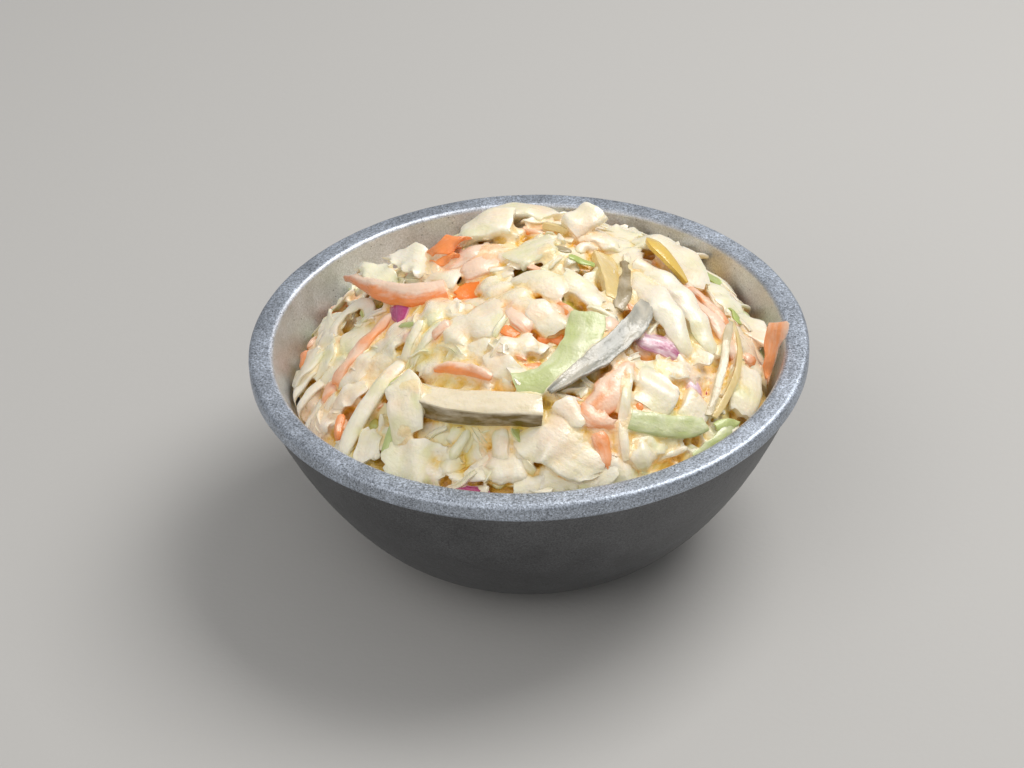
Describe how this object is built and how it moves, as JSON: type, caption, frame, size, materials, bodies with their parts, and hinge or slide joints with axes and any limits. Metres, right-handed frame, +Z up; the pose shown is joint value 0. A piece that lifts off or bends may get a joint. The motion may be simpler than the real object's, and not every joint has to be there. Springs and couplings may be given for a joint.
{
  "type": "coleslaw",
  "caption": "Creamy coleslaw of shredded cabbage, carrot, gherkin and red onion, mounded above the rim of a small round cast-aluminium bowl.",
  "frame": {"origin": "centre of the bowl's flat foot, on the surface it stands on", "axes": "+Z up out of the bowl's mouth, -Y to the front, +X to the right seen from the front"},
  "size_m": [0.12, 0.12, 0.0665],
  "materials": {
    "cast_aluminium": "cast and tumbled, fine speckle, satin",
    "dressed_slaw": "moist shredded salad in creamy dressing, soft gloss",
    "dressing": "creamy mayonnaise dressing, soft gloss",
    "white_cabbage": "moist translucent leaf, soft gloss",
    "green_cabbage": "moist pale green leaf, soft gloss",
    "carrot": "moist shredded carrot, soft gloss",
    "gherkin": "pickled flesh with a darker green skin, wet gloss",
    "red_onion": "wet purple skin over pale flesh, gloss"
  },
  "bodies": {
    "root": {"bowl": "cast_aluminium", "coleslaw": "dressed_slaw"}
  },
  "joints": []
}
